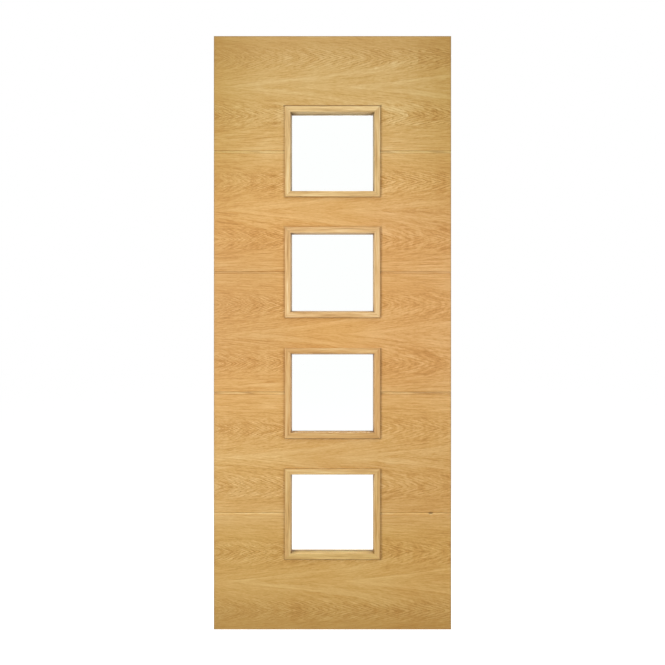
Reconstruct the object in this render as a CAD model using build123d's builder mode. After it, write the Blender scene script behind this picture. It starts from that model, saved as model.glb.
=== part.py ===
from build123d import *
import os

# Glazed flush interior door leaf: four clear lights, one above the other, in oak-veneered faces.
# Millimetres, +Z up. The front faces -Y. The origin is at the foot of the hinge edge,
# at mid-thickness, and +X runs across the leaf to the lock edge.

# Leaf
leaf_width = 813
leaf_height = 2032
leaf_thickness = 35
lipping_width = 8
lipping_arris = 1.5

# Lights: each fills what the margins and the rails leave, measured to the outside of its beads
light_names = ["bottom", "lower", "upper", "top"]
side_margin = 244
top_margin = 242
bottom_margin = 242
rail_between_lights = 104

# Grooves across both faces, one on the centre line of each light, with sloping sides and a flat bottom
groove_width = 9.5
groove_bottom_width = 4
groove_depth = 2.5
groove_floor = 1.5

# Chip: a place in the bottom groove of the front face where the cutter tore the veneer
chip_from_lock_edge = 69
chip_below_groove = 1.5
chip_length = 17
chip_height = 11
chip_bed_length = 8
chip_bed_height = 4
chip_past_bottom = 0.7

# Glazing beads: a lip that covers the edge of the face, and a tongue that runs in to the glass
bead_face_width = 19
bead_proud = 9
bead_lip = 7
bead_splay = 4
bead_edge_radius = 2
tongue_clearance = 0.3
mitre_clearance = 0.1

# Panes
glass_thickness = 4
glass_edge_clearance = 3

# Sizes that follow
face_thickness = groove_depth + groove_floor
face_width = leaf_width - 2 * lipping_width
core_thickness = leaf_thickness - 2 * face_thickness
face_level = leaf_thickness / 2
middle = leaf_width / 2
light_count = len(light_names)
light_width = leaf_width - 2 * side_margin
lights_and_rails = leaf_height - top_margin - bottom_margin
light_height = (lights_and_rails - (light_count - 1) * rail_between_lights) / light_count
light_pitch = light_height + rail_between_lights
light_centres = [bottom_margin + light_height / 2 + row * light_pitch for row in range(light_count)]
aperture_width = light_width - 2 * bead_lip
aperture_height = light_height - 2 * bead_lip
stile_width = (face_width - aperture_width) / 2
tongue_start = bead_lip + tongue_clearance
tongue_depth = face_level - glass_thickness / 2

# Planes that halve the leaf
mid_thickness = Plane.XZ
mid_width = Plane.YZ.offset(middle)

os.makedirs("parts", exist_ok=True)


def write_piece(piece, label):
    """Names a finished piece and writes it."""
    piece.label = label
    export_step(piece, f"parts/{label}.step")


# Router paths: the grooves as prisms that run right across the front and the back
with BuildPart() as groove_paths:
    with BuildSketch(Plane.YZ):
        for side in (-1, 1):
            for centre in light_centres:
                with BuildLine():
                    Polyline(
                        (side * face_level, centre - groove_width / 2),
                        (side * face_level, centre + groove_width / 2),
                        (side * (face_level - groove_depth), centre + groove_bottom_width / 2),
                        (side * (face_level - groove_depth), centre - groove_bottom_width / 2),
                        close=True,
                    )
                make_face()
    extrude(amount=leaf_width)

# Faces: a sheet between the lippings, cut for the lights and grooved, with the chip in the front one
with BuildPart() as whole_face:
    with BuildSketch(Plane.XZ.offset(core_thickness / 2)):
        with Locations((middle, leaf_height / 2)):
            Rectangle(face_width, leaf_height)
        with Locations([(middle, centre) for centre in light_centres]):
            Rectangle(aperture_width, aperture_height, mode=Mode.SUBTRACT)
    extrude(amount=face_thickness)
    add(groove_paths.part, mode=Mode.SUBTRACT)

chip_place = (leaf_width - chip_from_lock_edge, light_centres[0] - chip_below_groove)
with BuildPart() as front_face:
    add(whole_face.part)
    with BuildSketch(Plane.XZ.offset(face_level)):
        with Locations(chip_place):
            Ellipse(chip_length / 2, chip_height / 2)
    with BuildSketch(Plane.XZ.offset(face_level - groove_depth - chip_past_bottom)):
        with Locations(chip_place):
            Ellipse(chip_bed_length / 2, chip_bed_height / 2)
    loft(mode=Mode.SUBTRACT)
write_piece(front_face.part, "front_face")

with BuildPart() as back_face:
    mirror(whole_face.part, about=mid_thickness)
write_piece(back_face.part, "back_face")

# Lippings: solid strips over the full thickness, with eased outer edges, notched by the grooves
with BuildPart() as left_lipping:
    with BuildSketch(Plane.XY) as lipping_section:
        with Locations((lipping_width / 2, 0)):
            Rectangle(lipping_width, leaf_thickness)
        fillet(lipping_section.vertices().group_by(Axis.X)[0], lipping_arris)
    extrude(amount=leaf_height)
    add(groove_paths.part, mode=Mode.SUBTRACT)
write_piece(left_lipping.part, "left_lipping")

with BuildPart() as right_lipping:
    mirror(left_lipping.part, about=mid_width)
write_piece(right_lipping.part, "right_lipping")

# Core: uprights beside the lights and rails above, below and between them
with BuildPart() as left_stile:
    with BuildSketch(Plane.XY):
        with Locations((lipping_width + stile_width / 2, 0)):
            Rectangle(stile_width, core_thickness)
    extrude(amount=leaf_height)
write_piece(left_stile.part, "left_stile")

with BuildPart() as right_stile:
    mirror(left_stile.part, about=mid_width)
write_piece(right_stile.part, "right_stile")


def core_rails(spans):
    """Rails between the stiles, one for each pair of foot and head heights."""
    with BuildPart() as rails:
        for foot, head in spans:
            with BuildSketch(Plane.XY.offset(foot)):
                with Locations((middle, 0)):
                    Rectangle(aperture_width, core_thickness)
            extrude(amount=head - foot)
    return rails.part


aperture_feet = [centre - aperture_height / 2 for centre in light_centres]
aperture_heads = [centre + aperture_height / 2 for centre in light_centres]
write_piece(core_rails([(0, aperture_feet[0])]), "bottom_rail")
write_piece(core_rails([(aperture_heads[-1], leaf_height)]), "top_rail")
write_piece(core_rails(zip(aperture_heads[:-1], aperture_feet[1:])), "light_rails")


def glazing_bead(edge_middle, inward, half_run):
    """A front bead: its section at the middle of its outer edge, drawn out both ways and mitred."""
    outward = Vector(0, -1, 0)
    run = inward.cross(outward)
    with BuildPart() as bead:
        with BuildSketch(Plane(origin=edge_middle, x_dir=inward, z_dir=run)) as section:
            with BuildLine():
                Polyline(
                    (0, 0),
                    (0, bead_proud),
                    (bead_face_width, bead_proud),
                    (bead_face_width + bead_splay, -tongue_depth),
                    (tongue_start, -tongue_depth),
                    (tongue_start, 0),
                    close=True,
                )
            make_face()
            fillet(section.vertices().group_by(Axis.Y)[-1], bead_edge_radius)
        extrude(amount=half_run, both=True)
        for end in (run, -run):
            past_mitre = (inward + end).normalized()
            corner = edge_middle + end * half_run - past_mitre * mitre_clearance
            split(bisect_by=Plane(origin=corner, z_dir=past_mitre), keep=Keep.BOTTOM)
    return bead.part


# Beads and pane of each light, from the bottom one up
for light_name, centre in zip(light_names, light_centres):
    light_middle = Vector(middle, -face_level, centre)
    half_width = light_width / 2
    half_height = light_height / 2
    bead_places = {
        "head": (Vector(0, 0, -1), half_height, half_width),
        "sill": (Vector(0, 0, 1), half_height, half_width),
        "left": (Vector(1, 0, 0), half_width, half_height),
        "right": (Vector(-1, 0, 0), half_width, half_height),
    }
    for bead_name, (inward, reach, half_run) in bead_places.items():
        front_bead = glazing_bead(light_middle - inward * reach, inward, half_run)
        write_piece(front_bead, f"{light_name}_light_front_{bead_name}_bead")
        with BuildPart() as back_bead:
            mirror(front_bead, about=mid_thickness)
        write_piece(back_bead.part, f"{light_name}_light_back_{bead_name}_bead")

    with BuildPart() as pane:
        with BuildSketch(Plane.XZ):
            with Locations((middle, centre)):
                Rectangle(aperture_width - 2 * glass_edge_clearance, aperture_height - 2 * glass_edge_clearance)
        extrude(amount=glass_thickness / 2, both=True)
    write_piece(pane.part, f"{light_name}_light_glass")
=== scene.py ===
import math

import bpy
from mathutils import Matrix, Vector


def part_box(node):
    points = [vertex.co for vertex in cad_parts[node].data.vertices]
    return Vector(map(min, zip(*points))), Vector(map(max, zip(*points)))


# Glazed interior door leaf: oak veneer, solid oak beads and lippings, clear panes.
# Metres, +Z up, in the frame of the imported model. The front faces -Y.

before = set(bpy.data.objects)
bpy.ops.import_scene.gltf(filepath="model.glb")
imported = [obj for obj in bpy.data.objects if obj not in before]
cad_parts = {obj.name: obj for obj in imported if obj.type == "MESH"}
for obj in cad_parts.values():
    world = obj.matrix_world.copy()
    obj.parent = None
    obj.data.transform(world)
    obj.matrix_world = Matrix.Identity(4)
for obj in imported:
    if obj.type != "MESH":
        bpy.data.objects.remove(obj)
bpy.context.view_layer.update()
leaf_low, leaf_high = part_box("left_lipping")
leaf_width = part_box("right_lipping")[1].x - leaf_low.x
leaf_height = leaf_high.z - leaf_low.z
leaf_middle = leaf_low.x + leaf_width / 2
front_level = leaf_low.y

# Camera: level and square to the leaf, with the rows of the picture at which the leaf starts and ends
IMAGE_SIDE = 665
LEAF_TOP_PIXEL = 36.1
LEAF_FOOT_PIXEL = 629.4
CAMERA_DISTANCE = 2.5
LENS_SHIFT = -0.02
SENSOR_WIDTH = 36.0

# Light: soft boxes in front of the leaf at both sides, above it and behind it, and even light all round
AMBIENT = 0.31
BOX_SPREAD = math.radians(95)
BOX_AIM = Vector((leaf_middle, 0.0, 1.08))
SOFT_BOXES = {
    "left_box": {"size": 0.7, "power": 9.8, "place": (-1.4, -2.0, 1.32)},
    "right_box": {"size": 1.1, "power": 5.4, "place": (2.2, -2.0, 1.40)},
    "top_box": {"size": 1.4, "power": 7.7, "place": (0.4, -2.2, 4.2)},
    "back_box": {"size": 1.4, "power": 14.0, "place": (0.9, 2.6, 2.4)},
}

# Floor
FLOOR_COLOUR = (0.8, 0.8, 0.8, 1.0)
FLOOR_GLOW = 0.75
FLOOR_HALF = 12.0

# Veneer: leaves of crown-cut oak laid across the door, each turned over from the one below it.
# Their pattern goes on by a step from leaf to leaf, and by a long one from the front to the back.
SEAM_BELOW_MIDDLE = 0.0045
SEAM_HEIGHT = leaf_height / 2 - SEAM_BELOW_MIDDLE
VENEER_LEAF = 0.2117
LEAF_STEP = 0.45
BACK_STEP = 7.0

# Growth rings: they come to a point at the crown of each leaf and straighten away from it
CROWN_OFFSET = 0.1003
CROWN_HALF = 0.035
CROWN_POINT = 0.157
CROWN_POWER = 1.57
CROWN_SPREAD = 21.0
HEART_DISTANCE = 0.05
STRAIGHTENING = 5.0
OUTER_FADE = (0.015, 0.055)
RING_WIDTH = 0.0028
RING_FADE = (0.02, 0.45)
RING_MIDDLE = 0.54
BREAK_DEPTH = 2.4
BREAK_MIDDLE = 0.7

# Pale rings on the seam side of the crown: where each starts, how sharply, and how far it fades
PALE_RINGS = (0.1147, 0.1529)
PALE_EDGE = 0.0018
PALE_FADE = 0.018
PALE_SIDE = (CROWN_OFFSET, CROWN_OFFSET - 0.03)
PALE_LIFT = 0.21

# What bends the rings: sizes along the grain, from leaf to leaf and across the grain, and how far it goes
WANDER = {"sizes": (0.30, 1.0, 0.25), "depth": 0.012}
DRIFT = {"sizes": (0.14, 1.0, 0.014), "depth": 0.005}
JAGS = {"sizes": (0.016, 1.0, 0.0045), "roughness": 0.6}

# Marks in the veneer: sizes as above, and depth in tone
BROAD_BANDS = {"sizes": (0.20, 1.0, 0.030), "depth": 0.35}
STREAKS = {"sizes": (0.075, 1.0, 0.0068), "detail": 4.0, "roughness": 0.65}
SEAM_LINES = {"sizes": (0.13, 1.0, 0.0028), "depth": 0.85, "detail": 3.0, "roughness": 0.65}
GROOVE_LINES = {"sizes": (0.15, 1.0, 0.0062), "depth": 0.85, "detail": 3.0, "roughness": 0.65}
DASHES = {"sizes": (0.032, 1.0, 0.0026), "roughness": 0.6}
FLECKS = {"sizes": (0.011, 1.0, 0.0023), "depth": 0.40, "detail": 1.0}
HAIRLINES = {"sizes": (0.07, 1.0, 0.0040), "depth": 0.34, "detail": 0.0}
PORES = {"sizes": (0.012, 1.0, 0.00045), "detail": 1.0}
PORE_EDGE = (0.12, 0.26)
PORE_DEPTH = 0.16
DASH_DEPTH = 0.60
LINES_WIDEN = (CROWN_OFFSET + 0.03, CROWN_OFFSET + 0.08)

# Depths that change away from the crown: at it, and away from it
JAG_DEPTHS = (0.0024, 0.0012)
RING_DEPTHS = (0.58, 0.12)
STREAK_DEPTHS = (0.75, 0.30)

# Slow change of tone across a veneer leaf, by the distance from its seam or its crown
MIDDLE_TONE = 0.53
SEAM_FADE = (0.07, 0.0)
SEAM_LIFT = 0.07
GROOVE_FADE = (0.14, 0.20)
GROOVE_LIFT = 0.12
CROWN_FADE = (0.055, 0.010)
CROWN_DIP = 0.11

# Beside the lights, by the distance from the middle and from the ends, the figure is stronger,
# calmer to the right and low down, and crossed by hairlines above the bottom light
BESIDE_FADE = (0.12, 0.18)
END_FADE = (0.19, 0.27)
FIGURE_STRENGTHS = (1.04, 1.39)
CALM_ACROSS = (0.48, 0.60)
CALM_HEIGHT = (1.45, 1.30)
CALM_RINGS = 0.55
HAIRLINE_HEIGHT = (0.55, 0.75)
HAIRLINE_FROM_SEAM = (0.02, 0.06)

# Colours of the woods by tone
VENEER_OAK = [(0.0, (0.448, 0.18, 0.0225)), (0.5, (0.655, 0.335, 0.085)), (1.0, (0.793, 0.48, 0.177))]
BEAD_OAK = [(0.0, (0.46, 0.23, 0.065)), (0.5, (0.75, 0.46, 0.185)), (1.0, (0.92, 0.68, 0.35))]
BOARD = [(0.25, (0.30, 0.17, 0.08)), (0.75, (0.48, 0.30, 0.15))]
SOFTWOOD_DARK = (0.58, 0.34, 0.14)
SOFTWOOD = [(0.0, SOFTWOOD_DARK), (1.0, (0.94, 0.72, 0.42))]
# dark of torn wood, used for the chip and for the painted shadows round the beads
TORN_WOOD_AND_SHADOW = (0.20, 0.095, 0.025, 1.0)
WHITE = (1.0, 1.0, 1.0, 1.0)

# Slow change of colour over the door, partly painted light and shade: each tint, and where it fades in,
# going up, down, across or outward.
# First the foot, paler and cooler, and the head, with painted light; painted shade on the upper sides and
# the lower right; then soft patches; and last the ends, yellower low down, with painted shade towards the
# head and the foot and in thin lines at the very ends.
END_LINE_SHADE = (0.62, 0.62, 0.58, 1.0)
LEAF_TINTS_AND_SHADES = [
    ((1.00, 1.10, 1.22, 1.0), {"down": (0.95, 0.55)}),
    ((1.00, 1.20, 1.42, 1.0), {"up": (1.30, 1.85)}),
    ((0.85, 0.80, 0.60, 1.0), {"up": (1.15, 1.65), "outward": (0.18, 0.42)}),
    ((0.97, 0.93, 0.86, 1.0), {"down": (0.80, 0.45), "across": (0.50, 0.70)}),
    ((0.91, 0.91, 0.92, 1.0), {"up": (0.78, 1.00), "down": (1.42, 1.20), "across": (0.40, 0.15)}),
    ((1.05, 1.08, 1.12, 1.0), {"up": (0.325, 0.425), "down": (0.665, 0.565), "across": (0.42, 0.20)}),
    ((1.00, 1.00, 1.09, 1.0), {"up": (0.74, 0.89), "down": (1.54, 1.39), "across": (0.45, 0.60)}),
    ((1.00, 1.025, 0.91, 1.0), {"down": (0.42, 0.30)}),
    ((0.93, 0.88, 0.79, 1.0), {"up": (leaf_height - 0.13, leaf_height)}),
    ((0.82, 0.80, 0.70, 1.0), {"down": (0.17, 0.0)}),
    (END_LINE_SHADE, {"up": (leaf_height - 0.0035, leaf_height - 0.0005)}),
    (END_LINE_SHADE, {"down": (0.0035, 0.0005)}),
]

# Grooves: painted light on the bottom of each, and painted shade as the share of the colour left on its
# upper and lower sides
GROOVES = {
    "top": {"lift": 0.14, "upper": 0.70, "lower": 0.60},
    "upper": {"lift": -0.18, "upper": 0.88, "lower": 0.80},
    "lower": {"lift": 0.0, "upper": 0.60, "lower": 0.66},
    "bottom": {"lift": 0.12, "upper": 0.93, "lower": 0.97},
}
GROOVE_REACH = 0.05
GROOVE_SIDE_DEPTH = (0.0001, 0.0006)
GROOVE_BOTTOM_DEPTH = (0.0020, 0.0024)
GROOVE_SIDE_SHADE = (1.02, 0.985, 0.93, 1.0)
GROOVE_BOTTOM_SHADE = (0.90, 0.92, 0.97, 1.0)
GROOVE_BOTTOM_LIGHT = (1.24, 1.46, 1.80, 1.0)
PATCH_LENGTH = 0.11
PATCH_SHIFT = 5.0
PATCH_FADE = (-0.10, 0.14)

# Painted shadows on the face round the beads: depths over the head and under the sill of each light
BEAD_SHADOWS = {"top": (0.70, 0.28), "upper": (0.24, 0.25), "lower": (0.0, 0.46), "bottom": (0.0, 0.72)}
HEAD_LINE_WIDTH = 0.0058
SILL_LINE_WIDTH = 0.0034
LINE_FADE = 0.0012
SIDE_LINE_DEPTH = 0.24
SIDE_LINE_WIDTH = 0.0055
SIDE_LINE_FADE = 0.0045

# Chip in the bottom groove of the front, dark as torn wood and painted shade: the middle of its torn bed,
# and half its length and height
CHIP_FROM_LOCK_EDGE = 0.070
CHIP_ABOVE_GROOVE = 0.002
CHIP_HALF_LENGTH = 0.0095
CHIP_HALF_HEIGHT = 0.0056
CHIP_FADE = (1.0, 0.30)
CHIP_DEPTH = 0.70

# Edges of the faces and lippings, told apart by how squarely they face up, down or sideways
END_FACING = (0.90, 0.97)
OUTSIDE_FACING = (0.35, 0.75)
ARRIS_FACING = (0.99, 0.85)
ARRIS_REACH = 0.006
# painted shade on the rounded arrises of the lippings
ARRIS_SHADE = (0.70, 0.72, 0.66, 1.0)
END_TINT = (0.82, 0.80, 0.70, 1.0)
END_SPECKS = {"sizes": (0.0012, 0.0009, 0.01), "detail": 3.0, "roughness": 0.7}
SPECK_TONE = 0.42
BOARD_FIBRES = {"sizes": (0.004, 0.0008, 0.004), "detail": 3.0, "roughness": 0.7}
FIBRE_TONE = 0.5
BOARD_DEPTH = (0.0005, 0.0007)

# Solid oak: length of its bands, lines and pores along the grain, width across it, and depth in tone
SOLID_TONE = 0.5
SOLID_BANDS = {"length": 0.14, "width": 0.0075, "depth": 1.3}
SOLID_LINES = {"length": 0.06, "width": 0.0024, "depth": 1.1, "roughness": 0.6}
SOLID_PORES = {"length": 0.012, "width": 0.0004, "detail": 1.0}
SOLID_PORE_DEPTH = 0.15

# Beads: the axis of the grain, and the axis and the way that the inner side faces
BEAD_SIDES = {
    "head": ("X", "Z", -1.0),
    "sill": ("X", "Z", 1.0),
    "left": ("Z", "X", 1.0),
    "right": ("Z", "X", -1.0),
}
INNER_FACING = (0.5, 0.8)

# Tints of the beads of each light, and of the single beads that differ
BEAD_TINTS = {
    "top": (1.03, 1.13, 1.20, 1.0),
    "upper": (0.99, 1.01, 1.06, 1.0),
    "lower": (0.91, 0.87, 0.80, 1.0),
    "bottom": (0.97, 1.00, 0.93, 1.0),
}
BEAD_EXCEPTIONS = {
    ("top", "head"): (1.12, 1.28, 1.40, 1.0),
    ("lower", "sill"): (0.87, 0.82, 0.70, 1.0),
    ("lower", "right"): (0.87, 0.78, 0.67, 1.0),
    ("bottom", "sill"): (0.99, 1.07, 0.93, 1.0),
    ("bottom", "right"): (0.93, 0.92, 0.79, 1.0),
}

# Painted light and shade on the inner side of the beads that differ there, as the share of the colour left
# there
REVEAL_LIGHT_AND_SHADE = {
    ("top", "left"): 0.80, ("top", "right"): 0.76, ("upper", "head"): 1.20,
    ("lower", "head"): 1.10, ("lower", "sill"): 1.10, ("lower", "left"): 1.20,
    ("bottom", "sill"): 1.18, ("bottom", "left"): 1.10, ("bottom", "right"): 1.10,
}

# Painted shade in the corners of the beads, darker the less open they are to their surroundings
CORNER_SHADE = (0.40, 0.33, 0.20, 1.0)
CORNER_REACH = 0.03
CORNER_OPENNESS = (0.92, 0.30)
CORNER_SAMPLES = 8

# Lacquer
VENEER_ROUGHNESS = 0.42
VENEER_RELIEF = 0.00008
BEAD_ROUGHNESS = 0.48
BEAD_RELIEF = 0.00006
BEAD_SPECULAR = 0.35
PORE_ROUGHNESS = 0.15
TONE_RELIEF = 0.3

# Core: softwood staves in the stiles, and softwood laid across the leaf in the rails
STAVE_WIDTH = 0.042
STAVE_STEP = 1.37
STAVE_RING = 0.0032
STAVE_RING_FADE = (1.0, 0.1)
STAVE_JOINT = (STAVE_WIDTH / 2 - 0.0006, STAVE_WIDTH / 2 - 0.0002)
STAVE_HEART = 0.045
STAVE_HEART_RANGE = 0.25
STAVE_RIPPLE = {"sizes": (0.02, 0.02, 0.4), "depth": 0.004}
STAVE_FIBRES = {"sizes": (0.002, 0.002, 0.2), "depth": 0.5}
RAIL_TONE = 0.55
RAIL_BANDS = {"sizes": (0.25, 0.006, 0.02), "depth": 1.2}
RAIL_FIBRES = {"sizes": (0.08, 0.0012, 0.004), "depth": 0.8}
SOFTWOOD_ROUGHNESS = 0.75
SOFTWOOD_RELIEF = 0.0002

# Glass
GLASS_COLOUR = (0.985, 1.0, 0.992, 1.0)
GLASS_ROUGHNESS = 0.0
GLASS_INDEX = 1.45
GLASS_RIPPLE = {"sizes": (0.08, 0.08, 0.12), "detail": 1.0}
GLASS_RELIEF = 0.00001

# Nodes: the middle of their noise, and the sockets of a Mix node that mixes colours
NOISE_MIDDLE = 0.5
MIX_SHARE = 0
MIX_FIRST = 6
MIX_SECOND = 7
MIX_RESULT = 2


# Node helpers
def put(tree, socket, value):
    """Sets a socket to a value, or links it to another socket."""
    if isinstance(value, bpy.types.NodeSocket):
        tree.links.new(value, socket)
    else:
        socket.default_value = value


def add(tree, kind, inputs=None, **settings):
    """A new node with its settings, and its inputs by name or number."""
    node = tree.nodes.new(kind)
    for name, value in settings.items():
        setattr(node, name, value)
    for key, value in (inputs or {}).items():
        put(tree, node.inputs[key], value)
    return node


def calc(tree, operation, *values):
    """The result of one Math node."""
    return add(tree, "ShaderNodeMath", dict(enumerate(values)), operation=operation).outputs[0]


def folded(tree, operation, values):
    """Several values taken together, one after the other."""
    result = values[0]
    for value in values[1:]:
        result = calc(tree, operation, result, value)
    return result


def total(tree, *values):
    """The sum of several values."""
    return folded(tree, "ADD", values)


def times(tree, *values):
    """Several values multiplied."""
    return folded(tree, "MULTIPLY", values)


def largest(tree, *values):
    """The largest of several values."""
    return folded(tree, "MAXIMUM", values)


def minus(tree, first, second):
    """The first value less the second."""
    return calc(tree, "SUBTRACT", first, second)


def apart(tree, first, second):
    """How far apart two values are."""
    return calc(tree, "ABSOLUTE", minus(tree, first, second))


def between(tree, share, first, second):
    """A value that goes from the first to the second as the share goes from 0 to 1."""
    return calc(tree, "MULTIPLY_ADD", share, minus(tree, second, first), first)


def spread(tree, value, low, high):
    """A value from low..high brought to 0..1, eased at both ends. Low may be the larger of the two."""
    node = add(
        tree, "ShaderNodeMapRange", {"Value": value, "From Min": low, "From Max": high},
        interpolation_type="SMOOTHSTEP",
    )
    return node.outputs["Result"]


def joined(tree, x, y, z):
    """A vector from its X, Y and Z."""
    return add(tree, "ShaderNodeCombineXYZ", {"X": x, "Y": y, "Z": z}).outputs[0]


def split_axes(tree, vector):
    """The X, Y and Z of a vector."""
    return add(tree, "ShaderNodeSeparateXYZ", {0: vector}).outputs


def noise(tree, place, sizes, depth=1.0, detail=2.0, roughness=0.5):
    """Noise about zero, of some depth, with grains of the given size along each axis."""
    scales = tuple(1 / size for size in sizes)
    stretched = add(tree, "ShaderNodeVectorMath", {0: place, 1: scales}, operation="MULTIPLY").outputs[0]
    node = add(
        tree, "ShaderNodeTexNoise",
        {"Vector": stretched, "Scale": 1.0, "Detail": detail, "Roughness": roughness},
    )
    return times(tree, minus(tree, node.outputs["Fac"], NOISE_MIDDLE), depth)


def noise_along(tree, value, size):
    """Noise about zero along one value, with grains of the given size."""
    node = add(
        tree, "ShaderNodeTexNoise",
        {"W": calc(tree, "DIVIDE", value, size), "Scale": 1.0, "Detail": 1.0},
        noise_dimensions="1D",
    )
    return minus(tree, node.outputs["Fac"], NOISE_MIDDLE)


def ramp(tree, value, stops):
    """Colours by value, from a list of (place, colour)."""
    node = add(tree, "ShaderNodeValToRGB", {"Fac": value})
    elements = node.color_ramp.elements
    while len(elements) < len(stops):
        elements.new(0.5)
    for element, (place, colour) in zip(elements, stops):
        element.position = place
        element.color = (*colour, 1.0)
    return node.outputs["Color"]


def blended(tree, share, first, second, way="MIX"):
    """Two colours mixed by a share, or in another way."""
    inputs = {MIX_SHARE: share, MIX_FIRST: first, MIX_SECOND: second}
    node = add(tree, "ShaderNodeMix", inputs, data_type="RGBA", clamp_factor=True, blend_type=way)
    return node.outputs[MIX_RESULT]


def product(tree, first, second):
    """Two colours multiplied."""
    return blended(tree, 1.0, first, second, "MULTIPLY")


def tinted(tree, colour, share, tint):
    """A colour multiplied by a share of a tint."""
    return product(tree, colour, blended(tree, share, WHITE, tint))


def frame_place(tree):
    """The place of the shaded point in the frame."""
    return add(tree, "ShaderNodeTexCoord").outputs["Object"]


def surface_normal(tree):
    """The X, Y and Z of the surface's direction."""
    return split_axes(tree, add(tree, "ShaderNodeTexCoord").outputs["Normal"])


def facing(tree, axis):
    """How squarely the surface faces along an axis, either way."""
    return calc(tree, "ABSOLUTE", surface_normal(tree)[axis])


def face_depth(tree, place):
    """How deep a point lies under the nearer face of the leaf."""
    return minus(tree, -front_level, calc(tree, "ABSOLUTE", split_axes(tree, place)["Y"]))


def new_material(name):
    """An empty node material and its tree."""
    material = bpy.data.materials.new(name)
    material.use_nodes = True
    material.node_tree.nodes.clear()
    return material, material.node_tree


def finish_material(tree, colour, roughness, relief, relief_depth, constants=None):
    """A principled surface with its colour, roughness and relief, and other constants by name."""
    bump = add(tree, "ShaderNodeBump", {"Height": relief, "Strength": 1.0, "Distance": relief_depth})
    surface = {"Base Color": colour, "Roughness": roughness, "Normal": bump.outputs["Normal"]}
    shader = add(tree, "ShaderNodeBsdfPrincipled", {**surface, **(constants or {})})
    add(tree, "ShaderNodeOutputMaterial", {"Surface": shader.outputs["BSDF"]})


# Figure of the veneer
def veneer_point(tree, place):
    """A point on its veneer leaf: along the grain, which leaf it is, and across the grain from the seam."""
    axes = split_axes(tree, place)
    above_seam = minus(tree, axes["Z"], SEAM_HEIGHT)
    from_seam = calc(tree, "PINGPONG", above_seam, VENEER_LEAF)
    leaf = calc(tree, "FLOOR", calc(tree, "DIVIDE", above_seam, VENEER_LEAF))
    side = calc(tree, "SIGN", axes["Y"])
    which = total(tree, times(tree, leaf, LEAF_STEP), times(tree, side, BACK_STEP))
    return axes["X"], which, from_seam


def ring_radius(tree, sheet, outer):
    """Distance from the heart of the log: its level lines on the leaf are the arched growth rings."""
    axes = split_axes(tree, sheet)
    across = total(tree, axes["Z"], -CROWN_OFFSET, noise(tree, sheet, **WANDER))
    past_crown = largest(tree, across, 0.0)
    across = times(tree, across, calc(tree, "MULTIPLY_ADD", past_crown, STRAIGHTENING, 1.0))
    from_crown = calc(tree, "ABSOLUTE", across)
    beyond = largest(tree, minus(tree, from_crown, CROWN_HALF), 0.0)
    bow = calc(tree, "POWER", beyond, CROWN_POWER)
    reach = calc(tree, "MULTIPLY_ADD", from_crown, CROWN_POINT, bow)
    heart = calc(tree, "DIVIDE", total(tree, axes["X"], HEART_DISTANCE), CROWN_SPREAD)
    radius = calc(tree, "POWER", total(tree, reach, heart), 1 / CROWN_POWER)
    jag = times(tree, noise(tree, sheet, **JAGS), between(tree, outer, *JAG_DEPTHS))
    return total(tree, radius, noise(tree, sheet, **DRIFT), jag)


def beside_lights(tree, place):
    """1 on the upright parts beside the lights and 0 above, below and between them."""
    axes = split_axes(tree, place)
    to_end = calc(tree, "MINIMUM", axes["Z"], minus(tree, leaf_height, axes["Z"]))
    from_middle = apart(tree, axes["X"], leaf_middle)
    return times(tree, spread(tree, from_middle, *BESIDE_FADE), spread(tree, to_end, *END_FADE))


def ring_shade(tree, place, radius, dashes, outer, beside):
    """Dark wood at the start of each ring, broken into dashes, and calmer on part of the door."""
    axes = split_axes(tree, place)
    ring = calc(tree, "FRACT", calc(tree, "DIVIDE", radius, RING_WIDTH))
    shade = minus(tree, spread(tree, ring, *RING_FADE), RING_MIDDLE)
    broken = largest(tree, calc(tree, "MULTIPLY_ADD", dashes, BREAK_DEPTH, BREAK_MIDDLE), 0.0)
    calm = times(tree, beside, spread(tree, axes["X"], *CALM_ACROSS), spread(tree, axes["Z"], *CALM_HEIGHT))
    depth = times(tree, between(tree, outer, *RING_DEPTHS), between(tree, calm, 1.0, CALM_RINGS))
    return times(tree, shade, broken, depth)


def line_shade(tree, grain, from_seam, outer):
    """Lines away from the crown, fine towards the seam and broader towards the groove."""
    to_groove = spread(tree, from_seam, *LINES_WIDEN)
    lines = between(tree, to_groove, noise(tree, grain, **SEAM_LINES), noise(tree, grain, **GROOVE_LINES))
    return times(tree, lines, outer)


def hairline_shade(tree, place, sheet, outer, beside):
    """Straight hairlines beside the lights, off the crowns and the seams."""
    height = split_axes(tree, place)["Z"]
    from_seam = split_axes(tree, sheet)["Z"]
    raised = spread(tree, height, *HAIRLINE_HEIGHT)
    off_seam = spread(tree, from_seam, *HAIRLINE_FROM_SEAM)
    return times(tree, noise(tree, sheet, **HAIRLINES), raised, off_seam, outer, beside)


def slow_shade(tree, grain, from_seam, from_crown):
    """Slow change of tone across a veneer leaf: paler at the seam and the groove, darker at the crown."""
    seam = times(tree, spread(tree, from_seam, *SEAM_FADE), SEAM_LIFT)
    groove = times(tree, spread(tree, from_seam, *GROOVE_FADE), GROOVE_LIFT)
    crown = times(tree, spread(tree, from_crown, *CROWN_FADE), -CROWN_DIP)
    return total(tree, noise(tree, grain, **BROAD_BANDS), seam, groove, crown, MIDDLE_TONE)


def pale_shade(tree, radius, from_seam):
    """Pale rings, which show as long wedges between the crown and the seam."""
    rings = 0.0
    for start in PALE_RINGS:
        onset = spread(tree, radius, start - PALE_EDGE, start + PALE_EDGE)
        fade = spread(tree, radius, start + PALE_FADE, start)
        rings = calc(tree, "MULTIPLY_ADD", onset, fade, rings)
    return times(tree, rings, spread(tree, from_seam, *PALE_SIDE), PALE_LIFT)


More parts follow.
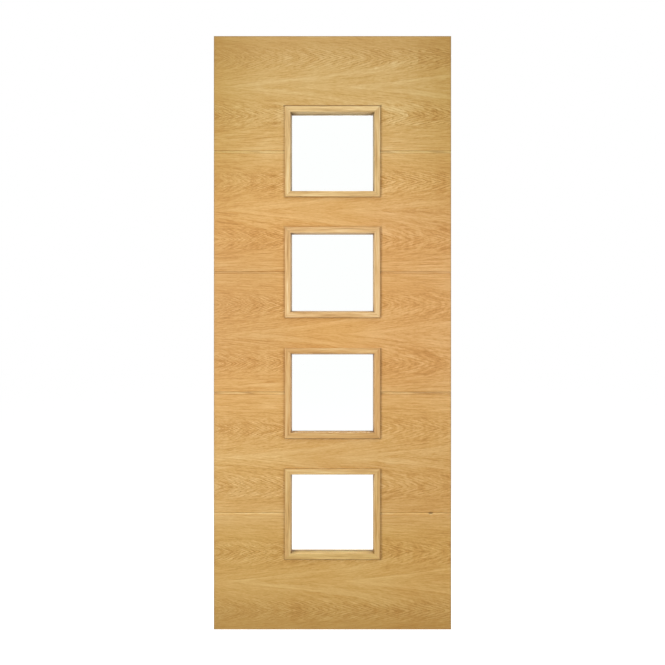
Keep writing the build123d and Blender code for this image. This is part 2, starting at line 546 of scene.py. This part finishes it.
def crown_cut(tree, place):
    """Tone of the crown-cut veneer, about 0.5, and its pores."""
    along, which, from_seam = veneer_point(tree, place)
    sheet = joined(tree, along, which, from_seam)
    from_crown = apart(tree, from_seam, CROWN_OFFSET)
    outer = spread(tree, from_crown, *OUTER_FADE)
    radius = ring_radius(tree, sheet, outer)
    grain = joined(tree, along, which, radius)
    beside = beside_lights(tree, place)
    dashes = noise(tree, grain, **DASHES)
    figure = total(
        tree,
        ring_shade(tree, place, radius, dashes, outer, beside),
        times(tree, noise(tree, grain, **STREAKS), between(tree, outer, *STREAK_DEPTHS)),
        line_shade(tree, grain, from_seam, outer),
        times(tree, dashes, DASH_DEPTH),
        noise(tree, grain, **FLECKS),
        hairline_shade(tree, place, sheet, outer, beside),
    )
    pores = spread(tree, noise(tree, sheet, **PORES), *PORE_EDGE)
    tone = total(
        tree,
        times(tree, figure, between(tree, beside, *FIGURE_STRENGTHS)),
        slow_shade(tree, grain, from_seam, from_crown),
        pale_shade(tree, radius, from_seam),
        times(tree, pores, -PORE_DEPTH),
    )
    return tone, pores


# Colour of the veneer
def leaf_tint_light_and_shade(tree, place):
    """Slow change of colour over the door, partly painted light and shade: all the tints, each where it
    fades in.
    """
    axes = split_axes(tree, place)
    from_middle = apart(tree, axes["X"], leaf_middle)
    measures = {"up": axes["Z"], "down": axes["Z"], "across": axes["X"], "outward": from_middle}
    colour = WHITE
    for tint, fades in LEAF_TINTS_AND_SHADES:
        shares = [spread(tree, measures[way], *fade) for way, fade in fades.items()]
        colour = tinted(tree, colour, times(tree, *shares), tint)
    return colour


def bead_shadows(tree, place):
    """Painted shadows on the face round the beads, as shares of full depth."""
    axes = split_axes(tree, place)
    from_middle = apart(tree, axes["X"], leaf_middle)
    lines = 0.0
    for light, (head_depth, sill_depth) in BEAD_SHADOWS.items():
        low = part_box(f"{light}_light_front_sill_bead")[0]
        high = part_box(f"{light}_light_front_head_bead")[1]
        beside = minus(tree, from_middle, (high.x - low.x) / 2)
        above = minus(tree, axes["Z"], high.z)
        below = minus(tree, low.z, axes["Z"])
        outside = largest(tree, beside, above, below)
        over_head = calc(tree, "GREATER_THAN", above, 0.0)
        under_sill = calc(tree, "GREATER_THAN", below, 0.0)
        at_side = minus(tree, minus(tree, 1.0, over_head), under_sill)
        width = between(tree, over_head, SILL_LINE_WIDTH, HEAD_LINE_WIDTH)
        line = spread(tree, minus(tree, outside, width), LINE_FADE, -LINE_FADE)
        side_line = spread(tree, minus(tree, outside, SIDE_LINE_WIDTH), SIDE_LINE_FADE, -SIDE_LINE_FADE)
        lines = total(
            tree,
            lines,
            times(tree, line, over_head, head_depth),
            times(tree, line, under_sill, sill_depth),
            times(tree, side_line, at_side, SIDE_LINE_DEPTH),
        )
    return lines


def groove_height(light):
    """The height of the groove on the centre line of a light."""
    low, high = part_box(f"{light}_light_glass")
    return (low.z + high.z) / 2


def groove_light_and_shade(tree, place):
    """Colour of the grooves: painted shade on their upper and lower sides, painted light in places on their
    bottom.
    """
    axes = split_axes(tree, place)
    depth = face_depth(tree, place)
    lower_side = calc(tree, "GREATER_THAN", surface_normal(tree)["Z"], 0.0)
    along = calc(tree, "MULTIPLY_ADD", axes["Z"], PATCH_SHIFT, axes["X"])
    bottom_light = noise_along(tree, along, PATCH_LENGTH)
    shade = 0.0
    for light, groove in GROOVES.items():
        near = calc(tree, "COMPARE", axes["Z"], groove_height(light), GROOVE_REACH)
        share = between(tree, lower_side, groove["upper"], groove["lower"])
        bottom_light = calc(tree, "MULTIPLY_ADD", near, groove["lift"], bottom_light)
        shade = calc(tree, "MULTIPLY_ADD", near, share, shade)
    side = product(tree, joined(tree, shade, shade, shade), GROOVE_SIDE_SHADE)
    side = blended(tree, spread(tree, depth, *GROOVE_SIDE_DEPTH), WHITE, side)
    bottom = blended(tree, spread(tree, bottom_light, *PATCH_FADE), GROOVE_BOTTOM_SHADE, GROOVE_BOTTOM_LIGHT)
    return blended(tree, spread(tree, depth, *GROOVE_BOTTOM_DEPTH), side, bottom)


def chip_torn_and_shaded(tree, place):
    """The share of torn wood with painted shade: full in the chip of the front face and 0 outside it."""
    axes = split_axes(tree, place)
    lock_edge = leaf_low.x + leaf_width
    from_middle = minus(tree, axes["X"], lock_edge - CHIP_FROM_LOCK_EDGE)
    above_middle = minus(tree, axes["Z"], groove_height("bottom") + CHIP_ABOVE_GROOVE)
    across = calc(tree, "DIVIDE", from_middle, CHIP_HALF_LENGTH)
    upward = calc(tree, "DIVIDE", above_middle, CHIP_HALF_HEIGHT)
    reach = total(tree, times(tree, across, across), times(tree, upward, upward))
    on_front = calc(tree, "LESS_THAN", axes["Y"], 0.0)
    return times(tree, spread(tree, reach, *CHIP_FADE), on_front, CHIP_DEPTH)


# Straight-grained solid oak
def grain_marks(tree, place, grain_axis, length, width, **settings):
    """Noise drawn out along the axis of the grain."""
    sizes = [length if axis == grain_axis else width for axis in "XYZ"]
    return noise(tree, place, sizes, **settings)


def straight_grain(tree, place, grain_axis):
    """Tone of straight-grained solid oak, about 0.5, and its pores."""
    bands = grain_marks(tree, place, grain_axis, **SOLID_BANDS)
    lines = grain_marks(tree, place, grain_axis, **SOLID_LINES)
    pores = spread(tree, grain_marks(tree, place, grain_axis, **SOLID_PORES), *PORE_EDGE)
    tone = total(tree, bands, lines, times(tree, pores, -SOLID_PORE_DEPTH), SOLID_TONE)
    return tone, pores


# Edges of the veneered pieces
def end_share(tree):
    """1 on the top and bottom ends and 0 elsewhere."""
    return spread(tree, facing(tree, "Z"), *END_FACING)


def face_edges(tree, place, wood):
    """A face sheet: brown board on its ends under a thin line of veneer, and torn wood with painted shade
    in the chip.
    """
    fibres = total(tree, noise(tree, place, **BOARD_FIBRES), FIBRE_TONE)
    under_veneer = spread(tree, face_depth(tree, place), *BOARD_DEPTH)
    end = blended(tree, under_veneer, wood, ramp(tree, fibres, BOARD))
    colour = blended(tree, end_share(tree), wood, end)
    return blended(tree, chip_torn_and_shaded(tree, place), colour, TORN_WOOD_AND_SHADOW)


def lipping_edges(tree, place, wood):
    """A lipping: upright grain on its outside, painted shade on its arrises, and end grain on its ends."""
    sideways = facing(tree, "X")
    tone = straight_grain(tree, place, "Z")[0]
    colour = blended(tree, spread(tree, sideways, *OUTSIDE_FACING), wood, ramp(tree, tone, VENEER_OAK))
    from_edge = calc(tree, "PINGPONG", split_axes(tree, place)["X"], leaf_width / 2)
    arris_shade = times(tree, spread(tree, from_edge, ARRIS_REACH, 0.0), spread(tree, sideways, *ARRIS_FACING))
    colour = tinted(tree, colour, arris_shade, ARRIS_SHADE)
    specks = total(tree, noise(tree, place, **END_SPECKS), SPECK_TONE)
    end = product(tree, ramp(tree, specks, VENEER_OAK), END_TINT)
    return blended(tree, end_share(tree), colour, end)


# Materials
def lacquer(tree, colour, tone, pores, roughness, relief_depth, constants=None):
    """Lacquered oak: its pores lie lower than the wood round them, and are duller."""
    dullness = calc(tree, "MULTIPLY_ADD", pores, PORE_ROUGHNESS, roughness)
    relief = minus(tree, times(tree, tone, TONE_RELIEF), pores)
    finish_material(tree, colour, dullness, relief, relief_depth, constants)


def oak_veneer(name, edges):
    """Crown-cut oak veneer over a face, satin lacquered, with the edges that the piece has."""
    material, tree = new_material(name)
    place = frame_place(tree)
    tone, pores = crown_cut(tree, place)
    wood = product(tree, ramp(tree, tone, VENEER_OAK), leaf_tint_light_and_shade(tree, place))
    # painted light and shade in the grooves
    wood = product(tree, wood, groove_light_and_shade(tree, place))
    # painted shadows round the beads, in the dark colour of torn wood
    wood = blended(tree, bead_shadows(tree, place), wood, TORN_WOOD_AND_SHADOW)
    lacquer(tree, edges(tree, place, wood), tone, pores, VENEER_ROUGHNESS, VENEER_RELIEF)
    return material


def oak_bead(light, side):
    """Solid oak of one bead of a light, with painted light and shade on its inner side and painted shade in
    its corners.
    """
    grain_axis, inward_axis, inward = BEAD_SIDES[side]
    material, tree = new_material(f"oak_bead_{light}_{side}")
    place = frame_place(tree)
    tone, pores = straight_grain(tree, place, grain_axis)
    tint = BEAD_EXCEPTIONS.get((light, side), BEAD_TINTS[light])
    colour = product(tree, ramp(tree, tone, BEAD_OAK), tint)
    reveal_shade = REVEAL_LIGHT_AND_SHADE.get((light, side), 1.0)
    inner_side = spread(tree, times(tree, surface_normal(tree)[inward_axis], inward), *INNER_FACING)
    colour = tinted(tree, colour, inner_side, (reveal_shade, reveal_shade, reveal_shade, 1.0))
    # painted shade in the corners, from how open they are
    occlusion = add(tree, "ShaderNodeAmbientOcclusion", {"Distance": CORNER_REACH}, samples=CORNER_SAMPLES)
    colour = tinted(tree, colour, spread(tree, occlusion.outputs["AO"], *CORNER_OPENNESS), CORNER_SHADE)
    lacquer(tree, colour, tone, pores, BEAD_ROUGHNESS, BEAD_RELIEF, {"Specular IOR Level": BEAD_SPECULAR})
    return material


def core_stile():
    """Softwood staves on end: growth rings across each stave, upright grain on the sides."""
    material, tree = new_material("core_stile")
    place = frame_place(tree)
    axes = split_axes(tree, place)
    stave = calc(tree, "FLOOR", calc(tree, "DIVIDE", axes["X"], STAVE_WIDTH))
    within = minus(tree, calc(tree, "MODULO", axes["X"], STAVE_WIDTH), STAVE_WIDTH / 2)
    chance = noise_along(tree, times(tree, stave, STAVE_STEP), 1.0)
    heart = calc(tree, "MULTIPLY_ADD", chance, STAVE_HEART_RANGE, STAVE_HEART)
    above = total(tree, axes["Y"], heart)
    radius = calc(tree, "SQRT", total(tree, times(tree, within, within), times(tree, above, above)))
    radius = total(tree, radius, noise(tree, place, **STAVE_RIPPLE))
    ring = calc(tree, "FRACT", calc(tree, "DIVIDE", radius, STAVE_RING))
    tone = total(tree, noise(tree, place, **STAVE_FIBRES), spread(tree, ring, *STAVE_RING_FADE))
    joint = spread(tree, calc(tree, "ABSOLUTE", within), *STAVE_JOINT)
    colour = blended(tree, joint, ramp(tree, tone, SOFTWOOD), (*SOFTWOOD_DARK, 1.0))
    finish_material(tree, colour, SOFTWOOD_ROUGHNESS, tone, SOFTWOOD_RELIEF)
    return material


def core_rail():
    """Softwood laid across the leaf."""
    material, tree = new_material("core_rail")
    place = frame_place(tree)
    tone = total(tree, noise(tree, place, **RAIL_BANDS), noise(tree, place, **RAIL_FIBRES), RAIL_TONE)
    finish_material(tree, ramp(tree, tone, SOFTWOOD), SOFTWOOD_ROUGHNESS, tone, SOFTWOOD_RELIEF)
    return material


def clear_glass():
    """Clear float glass with the faintest ripple."""
    material, tree = new_material("clear_glass")
    ripple = noise(tree, frame_place(tree), **GLASS_RIPPLE)
    clear = {"Transmission Weight": 1.0, "IOR": GLASS_INDEX}
    finish_material(tree, GLASS_COLOUR, GLASS_ROUGHNESS, ripple, GLASS_RELIEF, clear)
    return material


# Finish of every node, by the words of its name
finishes = {
    "face": oak_veneer("oak_veneer_face", face_edges),
    "lipping": oak_veneer("oak_veneer_lipping", lipping_edges),
    "stile": core_stile(),
    "glass": clear_glass(),
}
rail_wood = core_rail()
bead_oak = {(light, side): oak_bead(light, side) for light in BEAD_TINTS for side in BEAD_SIDES}


def finish_for(node):
    """The material of a node."""
    words = node.split("_")
    if words[-1] == "bead":
        return bead_oak[words[0], words[-2]]
    return finishes.get(words[-1], rail_wood)


for name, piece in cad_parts.items():
    piece.data.materials.clear()
    piece.data.materials.append(finish_for(name))


# Surroundings: white to the eye, with the shadow of the leaf on the floor
def seen_directly(tree):
    """1 for rays that see the surroundings, straight or by way of glass and gloss, and 0 for the rest."""
    path = add(tree, "ShaderNodeLightPath").outputs
    return largest(tree, path["Is Camera Ray"], path["Is Glossy Ray"], path["Is Transmission Ray"])


def white_world():
    """Even white light from all round."""
    world = bpy.data.worlds.new("studio")
    world.use_nodes = True
    tree = world.node_tree
    tree.nodes.clear()
    strength = between(tree, seen_directly(tree), AMBIENT, 1.0)
    background = add(tree, "ShaderNodeBackground", {"Color": WHITE, "Strength": strength})
    add(tree, "ShaderNodeOutputWorld", {"Surface": background.outputs[0]})
    bpy.context.scene.world = world


def white_floor():
    """A pale floor under the leaf."""
    mesh = bpy.data.meshes.new("floor")
    corners = [(-1, -1), (1, -1), (1, 1), (-1, 1)]
    points = [(leaf_middle + FLOOR_HALF * x, FLOOR_HALF * y, leaf_low.z) for x, y in corners]
    mesh.from_pydata(points, [], [(0, 1, 2, 3)])
    floor = bpy.data.objects.new("floor", mesh)
    bpy.context.scene.collection.objects.link(floor)
    material, tree = new_material("floor_white")
    diffuse = add(tree, "ShaderNodeBsdfDiffuse", {"Color": FLOOR_COLOUR})
    glow = add(tree, "ShaderNodeEmission", {"Strength": times(tree, seen_directly(tree), FLOOR_GLOW)})
    both = add(tree, "ShaderNodeAddShader", {0: diffuse.outputs[0], 1: glow.outputs[0]})
    add(tree, "ShaderNodeOutputMaterial", {"Surface": both.outputs[0]})
    mesh.materials.append(material)


def soft_light(name, size, power, place):
    """A square soft box that points at the leaf and lights only the side that it stands on."""
    lamp = bpy.data.lights.new(name, "AREA")
    lamp.energy = power
    lamp.size = size
    lamp.spread = BOX_SPREAD
    light = bpy.data.objects.new(name, lamp)
    light.visible_transmission = False
    light.location = place
    light.rotation_euler = (BOX_AIM - light.location).to_track_quat("-Z", "Y").to_euler()
    bpy.context.scene.collection.objects.link(light)


def level_camera():
    """The camera at the photograph's viewing angle."""
    metres_per_pixel = leaf_height / (LEAF_FOOT_PIXEL - LEAF_TOP_PIXEL)
    view_side = IMAGE_SIDE * metres_per_pixel
    view_middle = leaf_low.z + (LEAF_FOOT_PIXEL - IMAGE_SIDE / 2) * metres_per_pixel
    camera = bpy.data.cameras.new("camera")
    camera.sensor_width = SENSOR_WIDTH
    camera.lens = SENSOR_WIDTH * CAMERA_DISTANCE / view_side
    camera.shift_y = LENS_SHIFT
    viewer = bpy.data.objects.new("camera", camera)
    viewer.location = (leaf_middle, front_level - CAMERA_DISTANCE, view_middle - LENS_SHIFT * view_side)
    viewer.rotation_euler = (math.radians(90), 0, 0)
    bpy.context.scene.collection.objects.link(viewer)
    bpy.context.scene.camera = viewer


white_world()
white_floor()
for box_name, box in SOFT_BOXES.items():
    soft_light(box_name, **box)
level_camera()
bpy.context.scene.view_settings.view_transform = "Standard"
